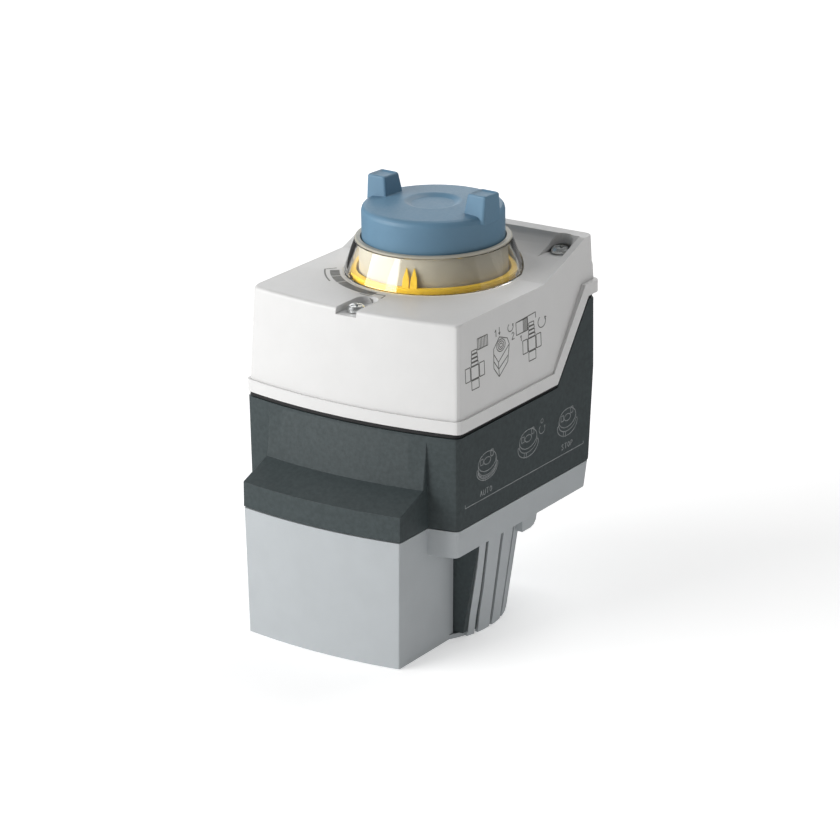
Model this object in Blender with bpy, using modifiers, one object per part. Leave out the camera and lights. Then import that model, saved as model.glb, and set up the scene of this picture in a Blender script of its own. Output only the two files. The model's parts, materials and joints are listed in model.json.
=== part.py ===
"""Motorised actuator head for a small lifting-stem heating or cooling valve.

A three-part plastic casing stands on the valve neck: a white top cover, a dark middle housing with the
roof of the terminal compartment, and a light-grey lower housing with the compartment itself and a ribbed
shroud round the neck. Inside, a motor turns a threaded spindle wheel, which moves the drive stem by
5.5 mm and turns the yellow position indicator. A knob on top can be pressed and turned by hand.

Frame: the origin is on the stem axis, level with the foot of the neck shroud. +Z points up along the
stem and the terminal compartment faces -Y. Sizes below are in millimetres; the helpers scale to metres.
"""

import math

import bmesh
import bpy
from mathutils import Matrix, Vector

MM = 0.001
GAP = 0.3  # clearance between pieces that touch

# Driving dimensions of the casing
HALF_WIDTH = 40.0  # over the lip of the top cover
FRONT = -30.0  # middle of the bowed front, at the lip
REAR = 55.6
BOW = 4.5  # how far the front bows over its whole width
WALL = 2.0
BASE_Z = 32.5  # underside of the lower housing, behind the compartment
SPLIT_Z = 41.2  # lower housing to middle housing
LIP_Z = 72.5  # front lip of the top cover
REAR_LIP_Z = 96.5
DECK_Z = 106.2  # flat front part of the cover's top
RIM_Z = 114.9  # raised rear rim of the cover
LIP_HEIGHT = 4.0
RAMP_START = 25.5  # where the top starts to rise towards the rear
RAMP_END = 49.5
LIP_KINK = 30.0  # where the lip turns up towards the rear
LIP_KINK_END = 48.5

# Driving dimensions of the terminal compartment and the neck
COVER_FILLET = 1.2  # rounding of the cover's front edge
BLOCK_HALF = 28.4
BLOCK_FRONT = -45.2
BLOCK_BOW = 2.6
BLOCK_REAR_WALL = -20.6
NECK_FOOT_R = 33.3
NECK_TOP_R = 38.2
SHROUD = 1.6  # thickness of the ribbed shroud at its foot
RIB_PITCH = 12.69  # degrees between the slots of the shroud
SLOTS = 17
SLOT_HALF = 0.75  # half the width of a slot
PANEL_EDGE = -17.5  # degrees, first rib's edge beside the compartment
PANEL_FOOT = 1.5  # height of the rim left under the opening beside the compartment
PANEL_RIM_R = 32.4
BLOCK_REAR_END = -13.3  # where the compartment's side walls end

# Axes
KNOB = (0.0, 21.0)
STEM = (0.0, 0.0)
FRONT_SCREW = (0.0, -21.3)
REAR_SCREWS = ((-30.4, 47.0), (30.4, 47.0))
BASE_SCREWS = ((-33.5, -21.5), (33.5, -21.5), (-32.5, 34.0), (32.5, 34.0))
PILLARS = ((-33.0, -12.5), (23.5, -12.5), (-23.5, 37.5), (23.5, 37.5))
YOKE_SCREW_R = 17.6
CABLE_ENTRIES = ((-13.5, -33.0), (13.5, -33.0))
ENTRY_R = 8.0

# Gear train. The wheels mesh at rest, and the stem moves by LEAD for each turn of the spindle wheel.
SPINDLE_TEETH, SPINDLE_MODULE = 30, 1.0
MANUAL_TEETH = 12
IDLER_PINION_TEETH = 10
IDLER_TEETH, IDLER_MODULE = 32, 0.75
MOTOR_TEETH = 8
RING_TEETH, RING_PINION_TEETH, RING_MODULE = 40, 8, 1.3125
IDLER_AXIS_DEG = 195.0
MOTOR_AXIS_DEG = 95.0
IDLER_DISTANCE = (SPINDLE_TEETH + IDLER_PINION_TEETH) * SPINDLE_MODULE / 2
MOTOR_DISTANCE = (IDLER_TEETH + MOTOR_TEETH) * IDLER_MODULE / 2

# Levels inside
FLOOR_Z = 43.6  # inner floor of the middle housing
LOWER_PLATE = (62.5, 64.0)
UPPER_PLATE = (88.0, 89.5)
LEVEL_A = (66.0, 70.0)  # spindle wheel, manual pinion and idler pinion
LEVEL_B = (73.0, 76.0)  # idler wheel and motor pinion
LEVEL_C = (91.8, 95.8)  # ring gear of the indicator

KNOB_R = 22.5
KNOB_TOP = 127.8
COLLAR_R = (22.9, 23.7)
WINDOW_SEAT = 106.0  # seat of the clear ring, sunk slightly into the deck
WINDOW_TOP = 116.6
WINDOW_FOOT_R = 28.3
WINDOW_TOP_R = 24.75
POINTER_DEG = -73.0  # where the indicator's twin pointers stand at rest

COLOURS = {
    "white_abs": ((0.80, 0.81, 0.80), 0.45, 0.0),
    "slate_plastic": ((0.055, 0.075, 0.080), 0.55, 0.0),
    "light_grey_plastic": ((0.42, 0.45, 0.46), 0.50, 0.0),
    "blue_plastic": ((0.16, 0.33, 0.50), 0.50, 0.0),
    "clear_polycarbonate": ((0.90, 0.88, 0.80), 0.08, 0.0),
    "beige_plastic": ((0.60, 0.58, 0.52), 0.45, 0.0),
    "yellow_plastic": ((0.95, 0.60, 0.03), 0.45, 0.0),
    "white_acetal": ((0.80, 0.80, 0.77), 0.40, 0.0),
    "zinc_steel": ((0.70, 0.71, 0.72), 0.30, 1.0),
    "steel_plate": ((0.55, 0.56, 0.57), 0.35, 1.0),
    "cast_alloy": ((0.60, 0.60, 0.60), 0.45, 1.0),
    "brass": ((0.75, 0.58, 0.28), 0.30, 1.0),
    "circuit_laminate": ((0.03, 0.22, 0.08), 0.45, 0.0),
    "terminal_plastic": ((0.10, 0.35, 0.15), 0.50, 0.0),
    "black_rubber": ((0.03, 0.03, 0.03), 0.80, 0.0),
    "black_plastic": ((0.04, 0.04, 0.045), 0.50, 0.0),
}


# ---------------------------------------------------------------- scene and helpers


def clear_scene():
    for obj in list(bpy.data.objects):
        bpy.data.objects.remove(obj)
    for name in ("actuator_head", "cutters"):
        collection = bpy.data.collections.new(name)
        bpy.context.scene.collection.children.link(collection)


def material(name):
    found = bpy.data.materials.get(name)
    if found:
        return found
    colour, roughness, metallic = COLOURS[name]
    made = bpy.data.materials.new(name)
    made.use_nodes = True
    shader = made.node_tree.nodes["Principled BSDF"]
    shader.inputs["Base Color"].default_value = (*colour, 1.0)
    shader.inputs["Roughness"].default_value = roughness
    shader.inputs["Metallic"].default_value = metallic
    return made


def add(name, bm, finish=None, axis=(0.0, 0.0)):
    """Make an object of a bmesh in millimetres, its origin on the vertical axis given. No finish: a cutter."""
    bmesh.ops.recalc_face_normals(bm, faces=bm.faces)
    bmesh.ops.translate(bm, verts=bm.verts, vec=(-axis[0], -axis[1], 0.0))
    bmesh.ops.scale(bm, verts=bm.verts, vec=(MM, MM, MM))
    mesh = bpy.data.meshes.new(name)
    bm.to_mesh(mesh)
    bm.free()
    return place(name, mesh, finish, axis)


def place(name, data, finish, axis):
    obj = bpy.data.objects.new(name, data)
    obj.location = (axis[0] * MM, axis[1] * MM, 0.0)
    if finish:
        data.materials.append(material(finish))
        bpy.data.collections["actuator_head"].objects.link(obj)
    else:
        obj.hide_render = True
        obj.display_type = "WIRE"
        bpy.data.collections["cutters"].objects.link(obj)
    return obj


def boolean(obj, other, operation):
    modifier = obj.modifiers.new(f"{operation.lower()} {other.name}", "BOOLEAN")
    modifier.operation = operation
    modifier.solver = "EXACT"
    modifier.object = other
    return obj


def cut(obj, *others):
    for other in others:
        boolean(obj, other, "DIFFERENCE")
    return obj


def join(obj, *others):
    for other in others:
        boolean(obj, other, "UNION")
    return obj


def keep(obj, other):
    return boolean(obj, other, "INTERSECT")


def smooth(obj, degrees=30.0):
    """Shade round pieces smooth, with edges sharper than the angle left crisp."""
    obj.data.shade_smooth()
    obj.data.set_sharp_from_angle(angle=math.radians(degrees))
    return obj


def prism(outline, low, high):
    """A flat outline of (x, y) points, extruded from one height to another."""
    bm = bmesh.new()
    bm.faces.new([bm.verts.new((x, y, low)) for x, y in outline])
    grown = bmesh.ops.extrude_face_region(bm, geom=bm.faces[:])
    verts = [item for item in grown["geom"] if isinstance(item, bmesh.types.BMVert)]
    bmesh.ops.translate(bm, verts=verts, vec=(0.0, 0.0, high - low))
    return bm


def side_prism(outline, half):
    """A side-view outline of (y, z) points, extruded across the object to both sides of X = 0."""
    bm = prism(outline, -half, half)
    bmesh.ops.transform(bm, verts=bm.verts, matrix=Matrix(((0, 0, 1), (1, 0, 0), (0, 1, 0))).to_4x4())
    return bm


def shifted(bm, x=0.0, y=0.0, z=0.0):
    bmesh.ops.translate(bm, verts=bm.verts, vec=(x, y, z))
    return bm


def cylinder(radius, low, high, axis=(0.0, 0.0), sides=24):
    bm = bmesh.new()
    bmesh.ops.create_cone(
        bm, cap_ends=True, segments=sides, radius1=radius, radius2=radius, depth=high - low
    )
    return shifted(bm, axis[0], axis[1], (low + high) / 2)


def block(low, high):
    bm = bmesh.new()
    bmesh.ops.create_cube(bm, size=1.0)
    size = [b - a for a, b in zip(low, high)]
    bmesh.ops.scale(bm, verts=bm.verts, vec=size)
    return shifted(bm, *[(a + b) / 2 for a, b in zip(low, high)])


def merged(parts):
    """Several bmeshes as one, for a cutter made of separate bodies."""
    whole = bmesh.new()
    for part in parts:
        mesh = bpy.data.meshes.new("part of a cutter")
        bmesh.ops.recalc_face_normals(part, faces=part.faces)
        part.to_mesh(mesh)
        part.free()
        whole.from_mesh(mesh)
        bpy.data.meshes.remove(mesh)
    return whole


def loft(sections):
    """A solid through (z, outline) sections that have the same number of points."""
    bm = bmesh.new()
    rings = [[bm.verts.new((x, y, z)) for x, y in outline] for z, outline in sections]
    count = len(rings[0])
    for lower, upper in zip(rings, rings[1:]):
        for i in range(count):
            j = (i + 1) % count
            bm.faces.new((lower[i], lower[j], upper[j], upper[i]))
    bm.faces.new(rings[0])
    bm.faces.new(rings[-1])
    return bm


def turned(name, profile, finish=None, axis=(0.0, 0.0), steps=32):
    """A profile of (radius, z) points turned about a vertical axis, listed down its outer side."""
    closed = all(r > 0.0 for r, _ in profile)
    points = [(r * MM, 0.0, z * MM) for r, z in profile]
    edges = [(i, i + 1) for i in range(len(points) - 1)]
    if closed:
        edges.append((len(points) - 1, 0))
    mesh = bpy.data.meshes.new(name)
    mesh.from_pydata(points, edges, [])
    obj = place(name, mesh, finish, axis)
    screw = obj.modifiers.new("turn", "SCREW")
    screw.steps = screw.render_steps = steps
    screw.use_merge_vertices = True
    screw.merge_threshold = 0.00001
    screw.use_smooth_shade = True
    return obj


def rounded(corners, segments=3):
    """An outline from (x, y, radius) corners, each corner with a radius replaced by an arc."""
    outline = []
    for i, (x, y, radius) in enumerate(corners):
        here = Vector((x, y))
        if radius <= 0.0:
            outline.append((x, y))
            continue
        before = (Vector(corners[i - 1][:2]) - here).normalized()
        after = (Vector(corners[(i + 1) % len(corners)][:2]) - here).normalized()
        half = before.angle(after) / 2
        centre = here + (before + after).normalized() * (radius / math.sin(half))
        start = here + before * (radius / math.tan(half)) - centre
        sweep = start.angle_signed(here + after * (radius / math.tan(half)) - centre)
        for step in range(segments + 1):
            turn = Matrix.Rotation(-sweep * step / segments, 2)
            point = centre + turn @ start
            outline.append((point.x, point.y))
    return outline


def casing_outline(half, front, rear, bow=BOW, span=HALF_WIDTH, corner=2.0, pieces=10):
    """Plan of a casing: straight sides and rear, and a front that bows forwards in the middle."""
    arc_r = (span * span + bow * bow) / (2 * bow)
    corners = []
    for i in range(pieces + 1):
        x = half * (2 * i / pieces - 1)
        y = front + arc_r - math.sqrt(arc_r * arc_r - x * x)
        corners.append((x, y, corner if i in (0, pieces) else 0.0))
    corners.append((half, rear, corner))
    corners.append((-half, rear, corner))
    return rounded(corners)


def offset_lip(distance):
    """Corner points (y, z) of the stepped line under the cover's lip, moved down by a distance."""
    slope = math.atan2(REAR_LIP_Z - LIP_Z, LIP_KINK_END - LIP_KINK)
    shift = distance * math.tan(slope / 2)
    return (LIP_KINK + shift, LIP_Z - distance), (LIP_KINK_END + shift, REAR_LIP_Z - distance)


def lip_band(top, bottom, far=80.0):
    """Side view of the band between two offsets of the lip line."""
    upper_a, upper_b = offset_lip(top)
    lower_a, lower_b = offset_lip(bottom)
    return [
        (-far, lower_a[1]),
        lower_a,
        lower_b,
        (far, lower_b[1]),
        (far, upper_b[1]),
        upper_b,
        upper_a,
        (-far, upper_a[1]),
    ]


def tooth_outline(teeth, module, inward=False, thin=0.44):
    """Outline of a gear at the origin, a tooth centred on +X. Inward gives the hole of a ring gear."""
    pitch_r = teeth * module / 2
    tip = pitch_r + (-0.8 if inward else 0.8) * module
    root = pitch_r + (1.1 if inward else -1.1) * module
    pitch = 2 * math.pi / teeth
    tip_half = pitch * thin * 0.22
    root_half = pitch * thin * (0.72 if not inward else 0.66)
    outline = []
    for i in range(teeth):
        middle = i * pitch
        for radius, angle in (
            (root, middle - root_half),
            (tip, middle - tip_half),
            (tip, middle + tip_half),
            (root, middle + root_half),
        ):
            outline.append((radius * math.cos(angle), radius * math.sin(angle)))
    return outline


def turned_outline(outline, degrees, centre=(0.0, 0.0)):
    """An outline turned about its own origin and moved to a centre."""
    c, s = math.cos(math.radians(degrees)), math.sin(math.radians(degrees))
    return [(x * c - y * s + centre[0], x * s + y * c + centre[1]) for x, y in outline]


def polar(radius, degrees, centre=(0.0, 0.0)):
    return (
        centre[0] + radius * math.cos(math.radians(degrees)),
        centre[1] + radius * math.sin(math.radians(degrees)),
    )


IDLER = polar(IDLER_DISTANCE, IDLER_AXIS_DEG)
MOTOR = polar(MOTOR_DISTANCE, MOTOR_AXIS_DEG, IDLER)


# ---------------------------------------------------------------- casing


def cover_section(z, inset=0.0):
    """Plan of the cover at a height: drafted sides, and a rounded edge where the front meets the deck."""
    rise = z - (LIP_Z + LIP_HEIGHT)
    into = min(max(z - (DECK_Z - COVER_FILLET), 0.0), COVER_FILLET)
    rounding = COVER_FILLET - math.sqrt(COVER_FILLET**2 - into**2)
    return casing_outline(
        39.3 - 0.036 * rise - inset,
        FRONT + 0.9 + 0.075 * rise + rounding + inset,
        55.3 - 0.02 * (z - REAR_LIP_Z) - inset,
        corner=2.0 + 0.6 * rounding,
    )


def cover_profile(inset, low):
    """Side view of the cover's body, inset from its top."""
    deck, rim = DECK_Z - inset, RIM_Z - inset
    return rounded(
        [
            (-80.0, low, 0.0),
            (80.0, low, 0.0),
            (80.0, rim, 0.0),
            (RAMP_END + 0.3 * inset, rim, 2.0),
            (RAMP_START + 0.3 * inset, deck, 4.0),
            (-80.0, deck, 0.0),
        ]
    )


def add_top_cover():
    heights = (66.0, *(DECK_Z - share * COVER_FILLET for share in (1.0, 0.6, 0.3, 0.1, 0.0)), 122.0)
    cover = add("top_cover", loft([(z, cover_section(z)) for z in heights]), "white_abs")
    body = offset_lip(0.0)
    underside = [(-80.0, LIP_Z), *body, (80.0, REAR_LIP_Z), (80.0, 140.0), (-80.0, 140.0)]
    keep(cover, add("cover top line", side_prism(cover_profile(0.0, 60.0), 60.0)))
    keep(cover, add("cover lip line", side_prism(underside, 60.0)))

    lip = add("cover lip", prism(casing_outline(HALF_WIDTH, FRONT, REAR, corner=2.4), 60.0, 130.0))
    keep(lip, add("lip band", side_prism(lip_band(-LIP_HEIGHT, 0.0), 60.0)))
    join(cover, lip)

    hollow = add("cover hollow", loft([(z, cover_section(z, WALL)) for z in (60.0, 104.0, 122.0)]))
    scoop_drop = 3.4  # the ramp's scoop is deeper than the plain ramp line
    keep(hollow, add("hollow top", side_prism(cover_profile(scoop_drop, 50.0), 60.0)))
    cut(cover, hollow)

    well = add("window well", cylinder(30.8, DECK_Z - 3.2, 118.0, KNOB, 48))
    keep(well, add("well top line", side_prism(cover_profile(0.4, 60.0), 60.0)))
    join(cover, well)
    scoop_half = 35.8
    scoop_line = [(25.5, DECK_Z), (33.0, 107.7), (41.0, 110.0), (46.0, 111.7), (48.8, 113.3), (50.4, 115.2)]
    scoop = scoop_line + [(50.4, 120.0), (25.5, 120.0)]
    cut(cover, add("ramp scoop", side_prism(scoop, scoop_half)))
    add_screw_seats(cover)
    seat = [
        (0.0, 121.0),
        (WINDOW_TOP_R + 0.35, 121.0),
        (WINDOW_TOP_R + 0.35, WINDOW_TOP),
        (WINDOW_FOOT_R + 0.35, WINDOW_SEAT + 1.0),
        (WINDOW_FOOT_R + 0.35, WINDOW_SEAT),
        (0.0, WINDOW_SEAT),
    ]
    cut(cover, turned("window seat", seat, axis=KNOB, steps=48))
    return cut(cover, add("ring opening", cylinder(26.6, 98.0, 112.0, KNOB, 48)))


def add_screw_seats(cover):
    """Bosses, pockets and holes for the three cover screws."""
    boss_r, pocket_half, hole_r = 5.2, 3.85, 1.8
    front_floor, rear_floor = 104.0, 109.6
    seats = [(FRONT_SCREW, front_floor, 98.0, (-60.0, FRONT_SCREW[1] + 8.9))]
    for screw in REAR_SCREWS:
        seats.append((screw, rear_floor, 103.7, (39.5, screw[1] + 3.9)))
    for i, (axis, floor, boss_foot, (start, end)) in enumerate(seats):
        join(cover, add(f"cover boss {i}", cylinder(boss_r, boss_foot, floor - 0.4, axis, 20)))
        corners = [
            (axis[0] - pocket_half, start, 0.0),
            (axis[0] + pocket_half, start, 0.0),
            (axis[0] + pocket_half, end, pocket_half - 0.05),
            (axis[0] - pocket_half, end, pocket_half - 0.05),
        ]
        if i == 0:
            plate = block((-5.4, -25.0, 101.6), (5.4, -11.0, 103.4))
            join(cover, add("front seat plate", plate))
        cut(cover, add(f"screw pocket {i}", prism(rounded(corners, 5), floor, 125.0)))
        cut(cover, add(f"screw hole {i}", cylinder(hole_r, 90.0, 125.0, axis, 16)))


def add_cover_seal():
    """Rubber seal in the seam between the cover and the middle housing."""
    seal = add("cover_seal", prism(casing_outline(39.2, FRONT + 0.4, 53.2), 60.0, 110.0), "black_rubber")
    keep(seal, add("seal band", side_prism(lip_band(0.3, 1.2), 60.0)))
    return cut(seal, add("seal inside", prism(casing_outline(37.6, FRONT + 2.0, 51.6), 50.0, 120.0)))


def housing_section(z, inset=0.0):
    """Plan of the middle housing: nearly upright, the rear drawn in towards the bottom."""
    rear = 50.8 + 2.7 * min(max(z - SPLIT_Z, 0.0) / 31.0, 1.0)
    half = 39.2 + 0.3 * min(max(z - SPLIT_Z, 0.0) / 31.0, 1.0)
    return casing_outline(half - inset, FRONT + inset, rear - inset)


def hood_section(front, half=29.5, rear=-19.0):
    return casing_outline(half, front, rear, bow=BLOCK_BOW, span=29.5, corner=0.6)


def add_middle_housing():
    """Dark housing with the sloping hood over the terminal compartment."""
    foot = SPLIT_Z + GAP
    housing = add(
        "middle_housing", loft([(z, housing_section(z)) for z in (foot, 72.2, 110.0)]), "slate_plastic"
    )
    ledge_top, ledge_foot = 54.2, 49.5
    hood = loft(
        [
            (foot, hood_section(BLOCK_FRONT + 0.1)),
            (ledge_foot, hood_section(BLOCK_FRONT + 0.3)),
            (ledge_top, hood_section(-32.4)),
            (70.5, hood_section(FRONT + 0.05)),
        ]
    )
    join(housing, add("hood", hood))
    hollow = loft([(z, housing_section(z, WALL + 0.2)) for z in (FLOOR_Z, 72.2, 130.0)])
    cut(housing, add("housing hollow", hollow))
    hood_hollow = loft(
        [
            (30.0, hood_section(BLOCK_FRONT + 2.2, 27.4, -24.0)),
            (ledge_foot - 1.8, hood_section(BLOCK_FRONT + 2.3, 27.4, -24.0)),
            (ledge_top - 2.4, hood_section(-30.4, 27.4, -24.0)),
        ]
    )
    cut(housing, add("hood hollow", hood_hollow))

    boss_r, bore_r = 4.0, 1.8
    join(housing, add("front boss", cylinder(boss_r - 0.6, 42.6, 97.6, FRONT_SCREW, 16)))
    join(housing, add("front boss web", block((-1.2, -29.0, 42.6), (1.2, -22.0, 68.0))))
    for i, axis in enumerate(REAR_SCREWS):
        join(housing, add(f"rear boss {i}", cylinder(boss_r, 42.6, 103.3, axis, 16)))
    for i, axis in enumerate(BASE_SCREWS):
        join(housing, add(f"base boss {i}", cylinder(4.0, 42.6, 54.0, axis, 16)))
        cut(housing, add(f"base boss bore {i}", cylinder(bore_r, 30.0, 52.0, axis, 12)))
    top_line = [(-80.0, 20.0), (80.0, 20.0), (80.0, REAR_LIP_Z - 1.5)]
    edge_a, edge_b = offset_lip(1.5)
    top_line += [edge_b, edge_a, (-80.0, edge_a[1])]
    lid = [(-80.0, edge_a[1]), edge_a, edge_b, (80.0, edge_b[1]), (80.0, 140.0), (-80.0, 140.0)]
    shell_top = add("housing top line", side_prism(lid, 60.0))
    inside = add("inside of the rim", prism(casing_outline(36.8, FRONT + 3.2, 51.15), 50.0, 150.0))
    cut(shell_top, inside)
    cut(housing, shell_top)
    bores = [cylinder(bore_r, 60.0, 130.0, axis, 12) for axis in (FRONT_SCREW, *REAR_SCREWS)]
    cut(housing, add("cover screw bores", merged(bores)))
    return cut(housing, add("yoke opening", cylinder(9.6, 30.0, 50.0, STEM, 32)))


def block_section(z, inset=0.0, rear=-8.0):
    share = z / SPLIT_Z
    return casing_outline(
        BLOCK_HALF + 0.8 * share - inset,
        BLOCK_FRONT + 0.1 * share + inset,
        rear,
        bow=BLOCK_BOW,
        span=29.5,
        corner=0.6,
    )


def shroud_r(z):
    return NECK_FOOT_R + (NECK_TOP_R - NECK_FOOT_R) * z / 33.0


def shroud_reach(z, angle):
    """Radius of the shroud at a height and an angle: it widens beside the compartment, to end under the tray."""
    radius = shroud_r(z)
    rise = min(max((z - 6.0) / (BASE_Z - 6.0), 0.0), 1.0)
    forward = math.degrees(math.asin(-math.sin(angle)))
    widened = radius + 2.2 * rise * max(0.0, 1.0 - ((forward - 14.0) / 22.0) ** 2)
    flat = (radius - 0.1) / max(abs(math.cos(angle)), 0.1)
    return min(widened, flat)


def shroud_outline(z, steps=64):
    points = []
    for i in range(steps):
        angle = 2.0 * math.pi * i / steps
        reach = shroud_reach(z, angle)
        points.append((reach * math.cos(angle), reach * math.sin(angle)))
    return points


def add_shroud():
    """Wall round the neck, open on both sides beside the compartment, with a low rim under each opening."""
    heights = (-3.0, 6.0, 15.0, 24.0, 33.6)
    shroud = add("shroud", loft([(z, shroud_outline(z)) for z in heights]))
    far_x, slope = 46.0, math.tan(math.radians(PANEL_EDGE))
    panel = [(20.0, -45.0), (far_x, -45.0), (far_x, far_x * slope), (20.0, 20.0 * slope)]
    for side in (-1.0, 1.0):
        outline = [(side * x, y) for x, y in panel]
        cut(shroud, add(f"opening {side:+.0f}", prism(outline, PANEL_FOOT, BASE_Z - 0.2)))
        inner = [(side * (x + 0.5), y - 0.5) for x, y in panel]
        trim = add(f"rim trim {side:+.0f}", prism(inner, -6.0, PANEL_FOOT + 0.2))
        cut(trim, add(f"rim {side:+.0f}", cylinder(PANEL_RIM_R, -9.0, 5.0, STEM, 64)))
        cut(shroud, trim)
    cut_slots(shroud)
    return shroud


def add_lower_housing():
    """Light-grey housing: a shallow tray, the terminal compartment and the ribbed neck shroud."""
    low, high = BASE_Z, SPLIT_Z - 0.1

    def tray_section(z, inset=0.0):
        share = (z - low) / (high - low)
        half = 38.5 + 0.5 * share - inset
        return casing_outline(half, FRONT + 0.2 + inset, 49.2 + 1.4 * share - inset)

    housing = add(
        "lower_housing", loft([(z, tray_section(z)) for z in (low, high)]), "light_grey_plastic"
    )
    join(housing, add("compartment", loft([(z, block_section(z)) for z in (-2.0, high)])))
    join(housing, add_shroud())
    cut(housing, add("below the feet", block((-60.0, -60.0, -9.0), (60.0, 60.0, 0.0))))
    for side in (-1.0, 1.0):
        skirt = rounded([(11.6, 28.8, 0.0), (20.0, 28.8, 3.6), (20.0, 34.0, 0.0), (11.6, 34.0, 0.0)])
        web = add(f"skirt {side:+.0f}", shifted(side_prism(skirt, 1.15), x=side * 37.2))
        join(housing, web)

    cut(housing, add("tray hollow", loft([(z, tray_section(z, WALL)) for z in (low + WALL, 50.0)])))
    compartment = loft([(z, block_section(z, 2.2, BLOCK_REAR_WALL - 2.3)) for z in (3.6, 50.0)])
    cut(housing, add("compartment hollow", compartment))
    for side in (-1.0, 1.0):
        shelf = block((-4.5, -31.0, 16.7), (4.5, BLOCK_REAR_WALL - 1.2, 19.7))
        join(housing, add(f"terminal shelf {side:+.0f}", shifted(shelf, x=side * 23.0)))
    neck_hollow = [
        (0.0, BASE_Z - 0.01),
        (shroud_r(BASE_Z) - 2.6, BASE_Z - 0.01),
        (shroud_r(0.0) - SHROUD, -5.0),
        (0.0, -5.0),
    ]
    hollow = turned("neck hollow", neck_hollow, steps=40)
    cut_to_compartment(hollow, 0.0)
    cut(housing, hollow)

    for i, axis in enumerate(BASE_SCREWS):
        join(housing, add(f"tray boss {i}", cylinder(3.9, 33.1, high - 0.3, axis, 12)))
        cut(housing, add(f"tray boss recess {i}", cylinder(3.2, 30.0, 36.5, axis, 12)))
    holes = [cylinder(1.8, 30.0, 60.0, axis, 8) for axis in BASE_SCREWS]
    holes += [cylinder(1.8, 25.0, 40.0, polar(YOKE_SCREW_R, 45.0 + 90.0 * i), 8) for i in range(4)]
    holes.append(cylinder(12.4, 25.0, 40.0, STEM, 24))
    for axis in CABLE_ENTRIES:
        holes.append(cylinder(ENTRY_R, -2.0, 6.0, axis, 24))
    cut(housing, add("tray holes", merged(holes)))
    recesses = [cylinder(ENTRY_R + 1.8, -2.0, 1.6, axis, 24) for axis in CABLE_ENTRIES]
    cut(housing, add("entry recesses", merged(recesses)))
    return housing


def cut_to_compartment(inside, gap):
    """Leave the compartment's rear wall and the rear ends of its side walls out of the space in the neck."""
    cut(inside, add("rear wall", block((-50, -60, -9), (50, BLOCK_REAR_WALL + gap, 60))))
    for low_x, high_x in ((-50.0, gap - BLOCK_HALF + 2.0), (BLOCK_HALF - 2.0 - gap, 50.0)):
        cut(inside, add("side wall", block((low_x, -60, -12), (high_x, BLOCK_REAR_END + gap, 62))))


def slot_angles():
    return [90.0 + (i - (SLOTS - 1) / 2) * RIB_PITCH for i in range(SLOTS)]


def cut_slots(shroud):
    """Divide the shroud into ribs."""
    slots = []
    for angle in slot_angles():
        slot = block((27.0, -SLOT_HALF, -4.0), (46.0, SLOT_HALF, BASE_Z - 0.2))
        turn = Matrix.Rotation(math.radians(angle), 4, "Z")
        bmesh.ops.transform(slot, verts=slot.verts, matrix=turn)
        slots.append(slot)
    cut(shroud, add("slots", merged(slots)))


def add_neck_sleeve():
    """Dark liner inside the shroud, with a bar in each slot and a wing that fills the opening on each side."""

    def liner(name, foot_r, top_r, low, high, gap, finish=None):
        profile = [(0.0, high), (top_r, high), (foot_r, low + 0.6), (foot_r - 0.6, low), (0.0, low)]
        piece = turned(name, profile, finish, steps=56)
        cut_to_compartment(piece, gap)
        return piece

    clearance = 0.35
    foot_r = shroud_r(0.0) - SHROUD - clearance
    top_r = foot_r + 1.2
    sleeve = liner("neck_sleeve", foot_r, top_r, 0.25, 32.1, GAP, "slate_plastic")
    cut(sleeve, liner("sleeve hollow", foot_r - 2.4, top_r - 2.4, -6.0, 29.7, 2.0))
    for angle in slot_angles():
        sections = []
        for z in (1.1, 31.9):
            outer = shroud_reach(z, math.radians(angle)) - 0.6
            half = SLOT_HALF - GAP
            bar = [(30.4, -half), (outer, -half), (outer, half), (30.4, half)]
            sections.append((z, turned_outline(bar, angle, STEM)))
        join(sleeve, add(f"slot bar {angle:.0f}", loft(sections)))
    slope = math.tan(math.radians(PANEL_EDGE))
    front = BLOCK_REAR_END + GAP + 0.1
    for side in (-1.0, 1.0):
        sections = []
        for z in (PANEL_FOOT + GAP + 0.1, 31.9):
            edge = math.radians(PANEL_EDGE)
            far = shroud_reach(z, edge) * math.cos(edge) - 0.15
            wing = [(26.5, front), (far, front), (far, far * slope - 0.35), (29.2, 29.2 * slope - 0.35)]
            sections.append((z, [(side * x, y) for x, y in wing]))
        join(sleeve, add(f"wing {side:+.0f}", loft(sections)))
    holes = [cylinder(1.8, 25.0, 40.0, polar(YOKE_SCREW_R, 45.0 + 90.0 * i), 8) for i in range(4)]
    holes.append(cylinder(12.4, 25.0, 40.0, STEM, 24))
    return cut(sleeve, add("sleeve holes", merged(holes)))


# ---------------------------------------------------------------- knob and indicator


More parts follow.
